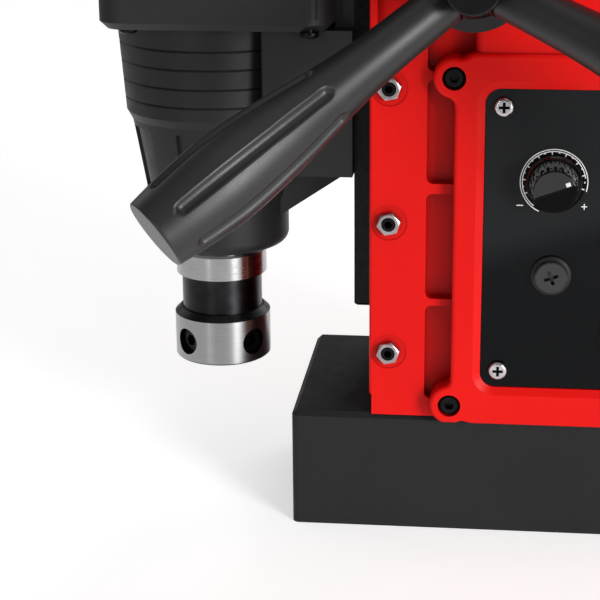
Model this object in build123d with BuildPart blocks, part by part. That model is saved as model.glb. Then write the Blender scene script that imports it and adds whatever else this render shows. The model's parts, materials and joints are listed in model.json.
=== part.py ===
from build123d import *
import os
from math import cos, pi, radians, sin, sqrt, tan

os.makedirs("parts", exist_ok=True)

# Magnetic drill press, in millimetres. +Z is up, the drill hangs in front at -Y, and the
# control panel and the feed handle are on the +X side. The origin is the middle of the
# magnet's underside.

# Magnet
BASE_WIDTH = 84
BASE_LENGTH = 165
BASE_HEIGHT = 43.6
GROOVE_DEPTH = 30
COIL_BOTTOM = 5
GROOVE_OUTER = (66, 140, 8)
GROOVE_INNER = (30, 104, 4)
COIL_CLEARANCE = 1.5

# Column casting
COLUMN_HALF = 42
COLUMN_FRONT = -54.5
COLUMN_REAR = 79
COLUMN_TOP = 292
FOOT_FRONT = -53.6
FOOT_TOP = 51.3
BAY_FRONT = -4
BAY_REAR = 60
BAY_BOTTOM = 52
BAY_TOP = 168
PAD_FACE = 47
PAD_FRONT = -18.9
PAD_TOP = 284
POCKET_FRONT = -34.9
POCKET_REAR = -24
POCKET_DEPTH = 4
POCKET_CORNER = 2.2
SIDE_POCKETS = ((50.3, 84.9), (87.4, 125.2), (128.7, 164.8))
BOSS_POCKETS = ((167.5, 190), (216, 284))
STRIP_POCKETS = ((178, 201), (218, 247), (264, 285))
LEFT_STRIP_POCKETS = ((56, 84.9), (87.4, 125.2), (128.7, 164.8), (220, 280))
LEFT_WIDE_POCKETS = ((56, 164.8), (172, 284))
LEFT_POCKET_DEPTH = 2.5

# Dovetail guide and its gib
DOVETAIL_ANGLE = 60
DOVETAIL_DEPTH = 13.8
DOVETAIL_NECK = 20
GIB_THICKNESS = 4
GUIDE_GAP = 0.1
SLIDE_FRONT = -61
SLIDE_HALF = 28
SLIDE_BOTTOM = 79.4
SLIDE_TOP = 270
SLIDE_BACK = COLUMN_FRONT - GUIDE_GAP + DOVETAIL_DEPTH
GIB_SCREW_Y = -47.7
GIB_SCREW_LOW = 67.4
GIB_SCREW_PITCH = 47.15
GIB_SCREW_COUNT = 5
GIB_SCREW_FACE = 44.9
SPOT_FACE_RADIUS = 6.3
SPOT_FACE_DEPTH = 0.3
NUT_FLATS = 7.2
NUT_HEIGHT = 2.9

# Feed: rack, pinion and capstan handle
HUB_Y = -19.3
HUB_Z = 202.5
RACK_MODULE = 1.5
PINION_TEETH = 14
PINION_RADIUS = RACK_MODULE * PINION_TEETH / 2
RACK_HALF = 8
SHAFT_RADIUS = 8
RUNNING_GAP = 0.05
BUSH_RADIUS = 14
BOSS_RADIUS = 16.5
BOSS_FACE = 60
HUB_BACK = 64.6
HUB_FRONT = 90
HUB_NOSE = 95
SPIGOT_RADIUS = 6
SPIGOT_BACK = 66
SPIGOT_FRONT = 84
SPOKE_X = 73.6
SPOKE_TILT = 27.6
SPOKE_ANGLES = (217, 337, 97)
SPOKE_LENGTH = 127.4
SPOKE_RADIUS = 5
SPOKE_START = 12
SPOKE_ENGAGEMENT = 92
GRIP_START = 12.5
GRIP_NECK = 7.3
GRIP_END = 11.4
GRIP_OUTLINE = (
    (GRIP_START, GRIP_NECK), (40, 7.9), (60, 9.6), (80, 12.2), (100, 13.7), (114, 13.0),
    (SPOKE_LENGTH, GRIP_END),
)

# Control panel on the +X side
COVER_FACE = 48.5
COVER_FRONT = -25.5
COVER_REAR = 70.1
COVER_TOP = 175
LOBE_RADIUS = 7
LOBE_BLEND = 3
LOBE_Y = (-25.8, 70.4)
LOBE_Z = (50.2, 166.4)
PLATE_BACK = 44.5
PLATE_FACE = 46.5
PLATE_FRONT = -15.1
PLATE_REAR = 59.7
PLATE_BOTTOM = 57.6
PLATE_TOP = 162.9
PLATE_SCREW_INSET = 6
KNOB_Y = 8.2
KNOB_Z = 131.4
FUSE_Z = 98.7
SWITCH_Y = 36.4
SWITCH_Z = 141.1
START_Z = 108.3
STOP_Z = 77.5
START_FACE = 50
STOP_FACE = 52.5
MOUTH_BEVEL_WIDTH = 2.6
MOUTH_BEVEL_DEPTH = 1.5
ROCKER_X = 43
ROCKER_TILT = 7

# Carrying handle and cable glands
HANDLE_FRONT = -2
HANDLE_REAR = 66
HANDLE_TOP = 334
HANDLE_RADIUS = 9
HANDLE_BEND = 15
HANDLE_BOLT_X = 16
GLAND_LENGTH = 20
MOTOR_GLAND_LENGTH = 10.5

# Drive unit, carried by the slide
ARBOR_Y = -114
LAYSHAFT_Y = -88
ROTOR_Y = -108
GEARBOX_HALF = 35
GEARBOX_TOP = 179.7
COLLAR_BOTTOM = 143.5
COLLAR_REAR = -92.5
COLLAR_RADIUS = 35.6
COLLAR_BORE = 31
COLLAR_FOOT = 33.2
GROOVE_HEIGHTS = (171.5, 164.9, 158.0, 151.4)
WINDOW_COUNT = 6
WINDOW_ARC = 38
BRACKET_BOTTOM = 128.6
BACKPLATE_TOP = 262
MOTOR_HALF = 42
MOTOR_FRONT = -148.5
MOTOR_REAR = -67.5
MOTOR_TOP = 292
CAP_TOP = 334
MOTOR_WALL = 3.5
MOTOR_FLOOR = 4.5
MOTOR_CORNER = 10
MOTOR_SCREW_DEPTH = 12
BRUSH_Z = 271
QUILL_BOTTOM = 95
QUILL_RADIUS = 25.6
BEARING_RADIUS = 21
SPINDLE_RADIUS = 12.5
NOSE_BOTTOM = 83.4
ARBOR_BOTTOM = 50.6
ARBOR_RADIUS = 18
SHANK_RADIUS = 9.525
SHANK_DEPTH = 30
SET_SCREW_Z = 58.5
SET_SCREW_ANGLES = (-40, 50)
ROTOR_PINION = 10
LAYSHAFT_WHEEL = 30
LAYSHAFT_PINION = 12
SPINDLE_WHEEL = 40


def box(low, high):
    """Plain block between two corners, as a private solid."""
    size = [b - a for a, b in zip(low, high)]
    centre = [(a + b) / 2 for a, b in zip(low, high)]
    return Pos(*centre) * Box(*size, mode=Mode.PRIVATE)


def upright(x, y):
    """Plane whose local X is a radius and local Y is height, about the vertical at x, y."""
    return Plane(origin=(x, y, 0), x_dir=(1, 0, 0), z_dir=(0, -1, 0))


def crosswise(y, z):
    """Plane whose local Y runs along +X, for turning about a cross axis at y, z."""
    return Plane(origin=(0, y, z), x_dir=(0, 1, 0), z_dir=(0, 0, -1))


def turned(plane, *outline):
    """Solid of revolution about a plane's local Y axis, from (radius, height) points."""
    with BuildPart() as piece:
        with BuildSketch(plane):
            with BuildLine():
                Polyline(*outline, close=True)
            make_face()
        revolve(axis=Axis(plane.origin, plane.y_dir))
    return piece.part


def ring(plane, inner, outer, low, high):
    """Plain ring or, with no inner radius, a plain disc."""
    return turned(plane, (inner, low), (outer, low), (outer, high), (inner, high))


def facing_x(x, y, z):
    """Location whose local Z points along +X."""
    return Plane(origin=(x, y, z), x_dir=(0, 1, 0), z_dir=(1, 0, 0)).location


def cap_screw(head_radius, head_height, shank_radius, shank_length, key):
    """Socket screw along +Z, with the underside of its head at the origin."""
    with BuildPart() as screw:
        with BuildSketch(Plane.XY.offset(-shank_length)):
            Circle(shank_radius)
        extrude(amount=shank_length)
        with BuildSketch(Plane.XY):
            Circle(head_radius)
        extrude(amount=head_height)
        chamfer(screw.faces().sort_by(Axis.Z)[-1].edges(), head_height / 8)
        with BuildSketch(Plane.XY.offset(head_height)):
            RegularPolygon(key / 2, 6, major_radius=False)
        extrude(amount=-head_height * 0.55, mode=Mode.SUBTRACT)
    return screw.part


def set_screw(radius, length, key):
    """Socket set screw along +Z, with its socket end at the origin."""
    with BuildPart() as screw:
        with BuildSketch(Plane.XY.offset(-length)):
            Circle(radius)
        extrude(amount=length)
        chamfer(screw.faces().sort_by(Axis.Z)[-1].edges(), radius / 8)
        with BuildSketch(Plane.XY):
            RegularPolygon(key / 2, 6, major_radius=False)
        extrude(amount=-length * 0.4, mode=Mode.SUBTRACT)
    return screw.part


def lock_nut(flats, height, hole):
    """Hexagon nut along +Z from the origin, with the corners of its outer face turned off."""
    corner = flats / sqrt(3)
    with BuildPart() as nut:
        with BuildSketch(Plane.XY):
            RegularPolygon(flats / 2, 6, major_radius=False, rotation=12)
        extrude(amount=height)
        add(turned(
            upright(0, 0),
            (hole, 0), (corner + 0.1, 0), (corner + 0.1, height - 0.45), (flats * 0.47, height),
            (hole, height),
        ), mode=Mode.INTERSECT)
    return nut.part


def cross_screw(head_radius, head_height, shank_radius, shank_length):
    """Pan-head cross-recess screw along +Z, with the underside of its head at the origin."""
    with BuildPart() as screw:
        with BuildSketch(Plane.XY.offset(-shank_length)):
            Circle(shank_radius)
        extrude(amount=shank_length)
        with BuildSketch(Plane.XY):
            Circle(head_radius)
        extrude(amount=head_height)
        fillet(screw.faces().sort_by(Axis.Z)[-1].edges(), head_height * 0.6)
        with BuildSketch(Plane.XY.offset(head_height)):
            Rectangle(head_radius * 1.1, head_radius * 0.3)
            Rectangle(head_radius * 0.3, head_radius * 1.1)
        extrude(amount=-head_height * 0.6, mode=Mode.SUBTRACT)
    return screw.part


def gland(length):
    """Cable gland along +Z from its seat at the origin: hex body, dome nut and bore."""
    with BuildPart() as piece:
        with BuildSketch(Plane.XY):
            RegularPolygon(9, 6, major_radius=False)
        extrude(amount=4)
        with BuildSketch(Plane.XY.offset(4)):
            Circle(8)
        extrude(amount=length - 4)
        fillet(piece.faces().sort_by(Axis.Z)[-1].edges(), 2.5)
        with BuildSketch(Plane.XY.offset(-6)):
            Circle(6)
        extrude(amount=6)
        with BuildSketch(Plane.XY.offset(-6)):
            Circle(3.6)
        extrude(amount=length + 6, mode=Mode.SUBTRACT)
    return piece.part


def gear_outline(teeth, module, gap_first=False):
    """Spur wheel outline with slim stub teeth; its first tooth, or gap, lies along +X."""
    pitch_radius = teeth * module / 2
    root, tip = pitch_radius - module, pitch_radius + 0.8 * module
    half_pitch = 0.58 * module
    half_root = half_pitch + module * tan(radians(20))
    half_tip = half_pitch - 0.8 * module * tan(radians(20))
    with BuildSketch() as tooth:
        with BuildLine():
            Polyline(
                (root * 0.8, -half_root),
                (root, -half_root),
                (pitch_radius, -half_pitch),
                (tip, -half_tip),
                (tip, half_tip),
                (pitch_radius, half_pitch),
                (root, half_root),
                (root * 0.8, half_root),
                close=True,
            )
        make_face()
    with BuildSketch() as outline:
        Circle(root)
        with PolarLocations(0, teeth, start_angle=180 / teeth if gap_first else 0):
            add(tooth.sketch)
    return outline.sketch


def finish(builder, name):
    """Labels a finished sub-part and writes its file."""
    builder.part.label = name
    export_step(builder.part, f"parts/{name}.step")


arbor_plane = upright(0, ARBOR_Y)
layshaft_plane = upright(0, LAYSHAFT_Y)
rotor_plane = upright(0, ROTOR_Y)
hub_plane = crosswise(HUB_Y, HUB_Z)
arbor_axis = Axis((0, ARBOR_Y, 0), (0, 0, 1))
flank_slope = 1 / tan(radians(DOVETAIL_ANGLE))
flank_sine = sin(radians(DOVETAIL_ANGLE))

# ---------------------------------------------------------------- magnet
base_bolt_points = [(x, y) for x in (-28, 28) for y in (8, 52)]
coil_outer = (GROOVE_OUTER[0] - 2 * COIL_CLEARANCE, GROOVE_OUTER[1] - 2 * COIL_CLEARANCE, 7)
coil_inner = (GROOVE_INNER[0] + 2 * COIL_CLEARANCE, GROOVE_INNER[1] + 2 * COIL_CLEARANCE, 5)

with BuildPart() as magnet_housing:
    with BuildSketch():
        RectangleRounded(BASE_WIDTH, BASE_LENGTH, 2.5)
    extrude(amount=BASE_HEIGHT)
    chamfer(magnet_housing.faces().sort_by(Axis.Z)[-1].edges(), 1.8)
    with BuildSketch():
        RectangleRounded(*GROOVE_OUTER)
        RectangleRounded(*GROOVE_INNER, mode=Mode.SUBTRACT)
    extrude(amount=GROOVE_DEPTH, mode=Mode.SUBTRACT)
    with BuildSketch(Plane.XY.offset(BASE_HEIGHT)):
        with Locations(*base_bolt_points):
            Circle(4)
    extrude(amount=-11, mode=Mode.SUBTRACT)
finish(magnet_housing, "magnet_housing")

with BuildPart() as magnet_coil:
    with BuildSketch(Plane.XY.offset(COIL_BOTTOM)):
        RectangleRounded(*coil_outer)
        RectangleRounded(*coil_inner, mode=Mode.SUBTRACT)
    extrude(amount=GROOVE_DEPTH - COIL_BOTTOM)
finish(magnet_coil, "magnet_coil")

with BuildPart() as coil_potting:
    with BuildSketch():
        RectangleRounded(*GROOVE_OUTER)
        RectangleRounded(*GROOVE_INNER, mode=Mode.SUBTRACT)
    extrude(amount=COIL_BOTTOM)
finish(coil_potting, "coil_potting")

base_bolt = cap_screw(6.5, 8, 4, BAY_BOTTOM - BASE_HEIGHT + 10, 6)
with BuildPart() as base_bolts:
    with Locations(*[(x, y, BAY_BOTTOM) for x, y in base_bolt_points]):
        add(base_bolt)
finish(base_bolts, "base_bolts")

# ---------------------------------------------------------------- column casting
gib_shift = (GIB_THICKNESS + 2 * GUIDE_GAP) / flank_sine
free_shift = GUIDE_GAP / flank_sine
channel_back = SLIDE_BACK + 0.3
channel_depth = channel_back - COLUMN_FRONT
gib_screw_heights = [GIB_SCREW_LOW + i * GIB_SCREW_PITCH for i in range(GIB_SCREW_COUNT)]
mains_gland_place = Plane(origin=(-20, COLUMN_REAR, 74), z_dir=(0, 1, 0)).location
lead_gland_place = Plane(origin=(-COLUMN_HALF, 40, 262), z_dir=(-1, 0, 0)).location

with BuildPart() as column_housing:
    with BuildSketch(Plane.XY.offset(BASE_HEIGHT)) as plan:
        with Locations((0, (COLUMN_FRONT + COLUMN_REAR) / 2)):
            Rectangle(2 * COLUMN_HALF, COLUMN_REAR - COLUMN_FRONT)
        fillet(plan.vertices().group_by(Axis.Y)[-1], 10)
        fillet(plan.vertices().group_by(Axis.Y)[0], 1)
    extrude(amount=COLUMN_TOP - BASE_HEIGHT)
    fillet(column_housing.faces().sort_by(Axis.Z)[-1].edges(), 3)
    # raised pad that carries the hub boss, flush with the panel cover below it
    with BuildSketch(Plane.YZ.offset(COLUMN_HALF)):
        with Locations(((PAD_FRONT + COVER_REAR) / 2, (COVER_TOP + PAD_TOP) / 2)):
            Rectangle(COVER_REAR - PAD_FRONT, PAD_TOP - COVER_TOP)
    extrude(amount=PAD_FACE - COLUMN_HALF)
    pad_rim = column_housing.faces().sort_by(Axis.X)[-1].edges()
    fillet(pad_rim.sort_by(Axis.Z)[1:], 3)
    with BuildSketch(Plane.YZ.offset(COLUMN_HALF)):
        with Locations((HUB_Y, HUB_Z)):
            Circle(BOSS_RADIUS)
    extrude(amount=BOSS_FACE - COLUMN_HALF)
    # dovetail channel, wider on the +X side by the gib, with the rack's channel behind it
    with BuildSketch(Plane.XY.offset(BASE_HEIGHT)):
        with BuildLine():
            Polyline(
                (-DOVETAIL_NECK - free_shift, COLUMN_FRONT),
                (-DOVETAIL_NECK - free_shift - channel_depth * flank_slope, channel_back),
                (DOVETAIL_NECK + gib_shift + channel_depth * flank_slope, channel_back),
                (DOVETAIL_NECK + gib_shift, COLUMN_FRONT),
                close=True,
            )
        make_face()
        with Locations((0, -33)):
            Rectangle(2 * RACK_HALF + 2, 16)
    extrude(amount=COLUMN_TOP - BASE_HEIGHT, mode=Mode.SUBTRACT)
    # foot of the front edges stands back a little
    add(
        box((-COLUMN_HALF - 1, COLUMN_FRONT - 1, BASE_HEIGHT), (COLUMN_HALF + 1, FOOT_FRONT, FOOT_TOP)),
        mode=Mode.SUBTRACT,
    )
    # pinion chamber and the shaft's two bores
    add(ring(hub_plane, 0, 12.6, -10, 10), mode=Mode.SUBTRACT)
    add(ring(hub_plane, 0, BUSH_RADIUS, 9, BOSS_FACE), mode=Mode.SUBTRACT)
    add(ring(hub_plane, 0, 12, -COLUMN_HALF, -9), mode=Mode.SUBTRACT)
    # electronics bay, open towards the panel
    add(box((-36, BAY_FRONT, BAY_BOTTOM), (43, BAY_REAR, BAY_TOP)), mode=Mode.SUBTRACT)
    add(box((-36, BAY_FRONT, 176), (38, BAY_REAR, 286)), mode=Mode.SUBTRACT)
    add(box((-20, 20, BAY_TOP - 1), (20, 44, 177)), mode=Mode.SUBTRACT)
    with BuildSketch(Plane.XY.offset(BASE_HEIGHT)):
        with Locations(*base_bolt_points):
            Circle(4.2)
    extrude(amount=BAY_BOTTOM - BASE_HEIGHT, mode=Mode.SUBTRACT)
    # casting pockets on both flanks, leaving pillars for the cover's screws
    with BuildSketch(Plane.YZ.offset(COLUMN_HALF)):
        for low, high in SIDE_POCKETS:
            with Locations(((POCKET_FRONT + POCKET_REAR) / 2, (low + high) / 2)):
                RectangleRounded(POCKET_REAR - POCKET_FRONT, high - low, POCKET_CORNER)
        for low, high in BOSS_POCKETS:
            with Locations(((POCKET_FRONT + PAD_FRONT) / 2, (low + high) / 2)):
                RectangleRounded(PAD_FRONT - POCKET_FRONT, high - low, POCKET_CORNER)
        for low, high in STRIP_POCKETS:
            with Locations((-44.8, (low + high) / 2)):
                RectangleRounded(14, high - low, POCKET_CORNER)
        with Locations(*[(LOBE_Y[0], z) for z in LOBE_Z]):
            Circle(LOBE_RADIUS, mode=Mode.SUBTRACT)
        with Locations((HUB_Y, HUB_Z)):
            Circle(BOSS_RADIUS + 3, mode=Mode.SUBTRACT)
    extrude(amount=-POCKET_DEPTH, mode=Mode.SUBTRACT)
    with BuildSketch(Plane.YZ.offset(-COLUMN_HALF)):
        for low, high in LEFT_STRIP_POCKETS:
            with Locations((-28, (low + high) / 2)):
                RectangleRounded(16, high - low, POCKET_CORNER)
        for low, high in LEFT_WIDE_POCKETS:
            with Locations((30, (low + high) / 2)):
                RectangleRounded(62, high - low, 5)
    extrude(amount=LEFT_POCKET_DEPTH, mode=Mode.SUBTRACT)
    # gib screw holes with their spot faces
    with BuildSketch(Plane.YZ.offset(COLUMN_HALF)):
        with Locations(*[(GIB_SCREW_Y, z) for z in gib_screw_heights]):
            Circle(SPOT_FACE_RADIUS)
    extrude(amount=-SPOT_FACE_DEPTH, mode=Mode.SUBTRACT)
    with BuildSketch(Plane.YZ.offset(COLUMN_HALF)):
        with Locations(*[(GIB_SCREW_Y, z) for z in gib_screw_heights]):
            Circle(2.5)
    extrude(amount=-16, mode=Mode.SUBTRACT)
    # threads for the cover, and openings for the two leads
    with BuildSketch(Plane.YZ.offset(COLUMN_HALF)):
        with Locations(*[(y, z) for y in LOBE_Y for z in LOBE_Z]):
            Circle(2)
    extrude(amount=-14, mode=Mode.SUBTRACT)
    with Locations(mains_gland_place, lead_gland_place):
        Cylinder(6, 50, mode=Mode.SUBTRACT)
finish(column_housing, "column_housing")

gib_back = COLUMN_FRONT + 1
gib_depth = DOVETAIL_DEPTH - 2
inner_shift = 2 * GUIDE_GAP / flank_sine
with BuildPart() as gib_strip:
    with BuildSketch(Plane.XY.offset(BASE_HEIGHT + 3)):
        with BuildLine():
            Polyline(
                (DOVETAIL_NECK + inner_shift + flank_slope, gib_back),
                (DOVETAIL_NECK + gib_shift + flank_slope, gib_back),
                (DOVETAIL_NECK + gib_shift + (gib_depth + 1) * flank_slope, gib_back + gib_depth),
                (DOVETAIL_NECK + inner_shift + (gib_depth + 1) * flank_slope, gib_back + gib_depth),
                close=True,
            )
        make_face()
    extrude(amount=COLUMN_TOP - BASE_HEIGHT - 8)
finish(gib_strip, "gib_strip")

gib_screw = set_screw(2.45, 14.2, 2.5)
with BuildPart() as gib_set_screws:
    with Locations(*[facing_x(GIB_SCREW_FACE, GIB_SCREW_Y, z) for z in gib_screw_heights]):
        add(gib_screw)
finish(gib_set_screws, "gib_set_screws")

gib_nut = lock_nut(NUT_FLATS, NUT_HEIGHT, 2.5)
nut_seat = COLUMN_HALF - SPOT_FACE_DEPTH
with BuildPart() as gib_lock_nuts:
    with Locations(*[facing_x(nut_seat, GIB_SCREW_Y, z) for z in gib_screw_heights]):
        add(gib_nut)
finish(gib_lock_nuts, "gib_lock_nuts")

# ---------------------------------------------------------------- feed shaft and handle
with BuildPart() as shaft_bushes:
    add(ring(hub_plane, SHAFT_RADIUS + RUNNING_GAP, BUSH_RADIUS, 12, BOSS_FACE))
    add(ring(hub_plane, SHAFT_RADIUS + RUNNING_GAP, BOSS_RADIUS, BOSS_FACE, BOSS_FACE + 2))
    add(ring(hub_plane, SHAFT_RADIUS + RUNNING_GAP, 12, -COLUMN_HALF, -12))
finish(shaft_bushes, "shaft_bushes")

with BuildPart() as shaft_end_cap:
    add(turned(
        hub_plane,
        (0, -47), (13, -47), (15, -45), (15, -COLUMN_HALF),
        (10, -COLUMN_HALF), (10, -45), (0, -45),
    ))
finish(shaft_end_cap, "shaft_end_cap")

with BuildPart() as feed_shaft:
    add(ring(hub_plane, 0, SHAFT_RADIUS, -43, SPIGOT_BACK))
    add(ring(hub_plane, 0, SPIGOT_RADIUS, SPIGOT_BACK, SPIGOT_FRONT))
    with BuildSketch(Plane.YZ.offset(-RACK_HALF)):
        with Locations(Location((HUB_Y, HUB_Z), 180)):
            add(gear_outline(PINION_TEETH, RACK_MODULE))
    extrude(amount=2 * RACK_HALF)
    add(ring(hub_plane, 0, 3, SPIGOT_FRONT - 12, SPIGOT_FRONT), mode=Mode.SUBTRACT)
finish(feed_shaft, "feed_shaft")

spoke_directions = [
    Vector(
        sin(radians(SPOKE_TILT)),
        cos(radians(SPOKE_TILT)) * cos(radians(angle)),
        cos(radians(SPOKE_TILT)) * sin(radians(angle)),
    )
    for angle in SPOKE_ANGLES
]
spoke_planes = [
    Plane(origin=(SPOKE_X, HUB_Y, HUB_Z), x_dir=(1, 0, 0), z_dir=direction)
    for direction in spoke_directions
]

# each grip meets the hub in a seat of its own, square to its spoke
with BuildPart() as feed_hub:
    add(turned(
        hub_plane,
        (0, HUB_BACK), (17.2, HUB_BACK), (17.8, HUB_BACK + 0.6), (17.8, HUB_BACK + 2.4), (13, 71),
        (11, 78), (9.4, HUB_FRONT), (0, HUB_FRONT),
    ))
    for plane in spoke_planes:
        with BuildSketch(plane):
            Circle(7.6)
        extrude(amount=GRIP_START - 0.3)
    for plane in spoke_planes:
        with BuildSketch(plane.offset(GRIP_START - 0.3)):
            Circle(7.7)
        extrude(amount=20, mode=Mode.SUBTRACT)
        with BuildSketch(plane.offset(SPOKE_START)):
            Circle(SPOKE_RADIUS)
        extrude(amount=20, mode=Mode.SUBTRACT)
    add(ring(hub_plane, 0, SHAFT_RADIUS, HUB_BACK - 1, SPIGOT_BACK), mode=Mode.SUBTRACT)
    add(ring(hub_plane, 0, SPIGOT_RADIUS, SPIGOT_BACK, SPIGOT_FRONT), mode=Mode.SUBTRACT)
    add(ring(hub_plane, 0, 3.2, SPIGOT_FRONT, HUB_FRONT), mode=Mode.SUBTRACT)
finish(feed_hub, "feed_hub")

with BuildPart() as hub_cap:
    add(turned(
        hub_plane,
        (0, SPIGOT_FRONT - 8), (3, SPIGOT_FRONT - 8), (3, HUB_FRONT), (9, HUB_FRONT),
        (8.8, HUB_NOSE), (0, HUB_NOSE),
    ))
    fillet(hub_cap.faces().sort_by(Axis.X)[-1].edges(), 0.8)
finish(hub_cap, "hub_cap")

with BuildPart() as feed_spokes:
    for plane in spoke_planes:
        with BuildSketch(plane.offset(SPOKE_START)):
            Circle(SPOKE_RADIUS)
        extrude(amount=SPOKE_ENGAGEMENT)
finish(feed_spokes, "feed_spokes")

bore_end = SPOKE_START + SPOKE_ENGAGEMENT
for index, plane in enumerate(spoke_planes, start=1):
    side = Plane(origin=plane.origin, x_dir=plane.x_dir, z_dir=plane.y_dir * -1)
    with BuildPart() as feed_grip:
        with BuildSketch(side):
            with BuildLine():
                Spline(*[(radius, along) for along, radius in GRIP_OUTLINE])
                Polyline(
                    (GRIP_END, SPOKE_LENGTH), (0, SPOKE_LENGTH), (0, bore_end), (SPOKE_RADIUS, bore_end),
                    (SPOKE_RADIUS, GRIP_START), (GRIP_NECK, GRIP_START),
                )
            make_face()
        revolve(axis=Axis(plane.origin, plane.z_dir))
    finish(feed_grip, f"feed_grip_{index}")

# ---------------------------------------------------------------- control panel
plate_centre = ((PLATE_FRONT + PLATE_REAR) / 2, (PLATE_BOTTOM + PLATE_TOP) / 2)
plate_size = (PLATE_REAR - PLATE_FRONT, PLATE_TOP - PLATE_BOTTOM)
panel_screw_places = [
    (y, z)
    for y in (PLATE_FRONT + PLATE_SCREW_INSET, PLATE_REAR - PLATE_SCREW_INSET)
    for z in (PLATE_BOTTOM + PLATE_SCREW_INSET, PLATE_TOP - PLATE_SCREW_INSET)
]
cover_screw_places = [(y, z) for y in LOBE_Y for z in LOBE_Z]

with BuildPart() as panel_cover:
    with BuildSketch(Plane.YZ.offset(COLUMN_HALF)):
        with Locations(((COVER_FRONT + COVER_REAR) / 2, (BASE_HEIGHT + COVER_TOP) / 2)):
            RectangleRounded(COVER_REAR - COVER_FRONT, COVER_TOP - BASE_HEIGHT, 8)
        with Locations(*cover_screw_places):
            Circle(LOBE_RADIUS)
        # growing and shrinking the outline rounds the corners where the lobes join it
        offset(amount=LOBE_BLEND)
        offset(amount=-LOBE_BLEND)
        with Locations((0, BASE_HEIGHT)):
            Rectangle(300, 20, align=(Align.CENTER, Align.MAX), mode=Mode.SUBTRACT)
    extrude(amount=COVER_FACE - COLUMN_HALF)
    fillet(panel_cover.faces().sort_by(Axis.X)[-1].outer_wire().edges(), 1.5)
    with BuildSketch(Plane.YZ.offset(COVER_FACE)):
        with Locations(plate_centre):
            RectangleRounded(plate_size[0] + 0.4, plate_size[1] + 0.4, 5.2)
    extrude(amount=PLATE_BACK - COVER_FACE, mode=Mode.SUBTRACT)
    front = panel_cover.faces().sort_by(Axis.X)[-1]
    chamfer(front.inner_wires()[0].edges(), MOUTH_BEVEL_WIDTH, MOUTH_BEVEL_DEPTH, reference=front)
    with BuildSketch(Plane.YZ.offset(COLUMN_HALF)):
        with Locations(plate_centre):
            RectangleRounded(plate_size[0] - 18, plate_size[1] - 18, 3)
    extrude(amount=PLATE_BACK - COLUMN_HALF, mode=Mode.SUBTRACT)
    with BuildSketch(Plane.YZ.offset(COVER_FACE)):
        with Locations(*cover_screw_places):
            Circle(4)
    extrude(amount=-4.6, mode=Mode.SUBTRACT)
    with BuildSketch(Plane.YZ.offset(COVER_FACE)):
        with Locations(*cover_screw_places):
            Circle(2.2)
    extrude(amount=-8, mode=Mode.SUBTRACT)
    with BuildSketch(Plane.YZ.offset(PLATE_BACK)):
        with Locations(*panel_screw_places):
            Circle(1.5)
    extrude(amount=-PLATE_BACK + COLUMN_HALF, mode=Mode.SUBTRACT)
finish(panel_cover, "panel_cover")

cover_screw = cap_screw(3.5, 3.9, 1.95, 12, 3)
with BuildPart() as cover_screws:
    with Locations(*[facing_x(COVER_FACE - 4.6, y, z) for y, z in cover_screw_places]):
        add(cover_screw)
finish(cover_screws, "cover_screws")

button_places = [(SWITCH_Y, START_Z), (SWITCH_Y, STOP_Z)]
with BuildPart() as panel_plate:
    with BuildSketch(Plane.YZ.offset(PLATE_BACK)):
        with Locations(plate_centre):
            RectangleRounded(*plate_size, 5)
        with Locations((KNOB_Y, KNOB_Z)):
            Circle(3.6, mode=Mode.SUBTRACT)
        with Locations((KNOB_Y, FUSE_Z)):
            Circle(6, mode=Mode.SUBTRACT)
        with Locations((SWITCH_Y, SWITCH_Z)):
            Rectangle(19, 12.4, mode=Mode.SUBTRACT)
        with Locations(*button_places):
            Circle(8.6, mode=Mode.SUBTRACT)
        with Locations(*panel_screw_places):
            Circle(1.6, mode=Mode.SUBTRACT)
    extrude(amount=PLATE_FACE - PLATE_BACK)
finish(panel_plate, "panel_plate")

panel_screw = cross_screw(3.3, 1.9, 1.45, 4.4)
with BuildPart() as panel_screws:
    with Locations(*[facing_x(PLATE_FACE, y, z) for y, z in panel_screw_places]):
        add(panel_screw)
finish(panel_screws, "panel_screws")

knob_plane = crosswise(KNOB_Y, KNOB_Z)
with BuildPart() as potentiometer:
    add(turned(
        knob_plane,
        (3.05, 30), (8, 30), (8, 39), (5, 39), (5, PLATE_BACK), (3.5, PLATE_BACK),
        (3.5, PLATE_FACE), (5, PLATE_FACE), (5, PLATE_FACE + 1.6), (3.5, PLATE_FACE + 1.6),
        (3.5, 51), (3.05, 51),
    ))
finish(potentiometer, "potentiometer")

with BuildPart() as potentiometer_shaft:
    add(ring(knob_plane, 0, 3, 30, 58))
finish(potentiometer_shaft, "potentiometer_shaft")

with BuildPart() as speed_knob:
    add(turned(
        knob_plane,
        (5.6, 47.1), (9.4, 47.1), (9.4, 48.4), (8.1, 50.4), (7.2, 61), (0, 61),
        (0, 58), (3, 58), (3, 51.4), (5.6, 51.4),
    ))
    with BuildSketch(Plane(origin=(61, KNOB_Y, KNOB_Z), x_dir=(0, 1, 0), z_dir=(1, 0, 0))):
        with Locations(Location((0, 0), 20)):
            Rectangle(20, 12, align=(Align.CENTER, Align.MAX))
    extrude(amount=-2.8, mode=Mode.SUBTRACT)
finish(speed_knob, "speed_knob")

fuse_plane = crosswise(KNOB_Y, FUSE_Z)
with BuildPart() as fuse_holder:
    add(turned(
        fuse_plane,
        (0, 10), (5.6, 10), (5.6, PLATE_FACE - 5), (5.9, PLATE_FACE - 5), (5.9, PLATE_FACE),
        (6.8, PLATE_FACE), (6.8, PLATE_FACE + 1.2), (5.9, PLATE_FACE + 1.8),
        (4.7, PLATE_FACE + 1.8), (4.7, 24), (3, 24), (3, 12), (0, 12),
    ))
finish(fuse_holder, "fuse_holder")

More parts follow.
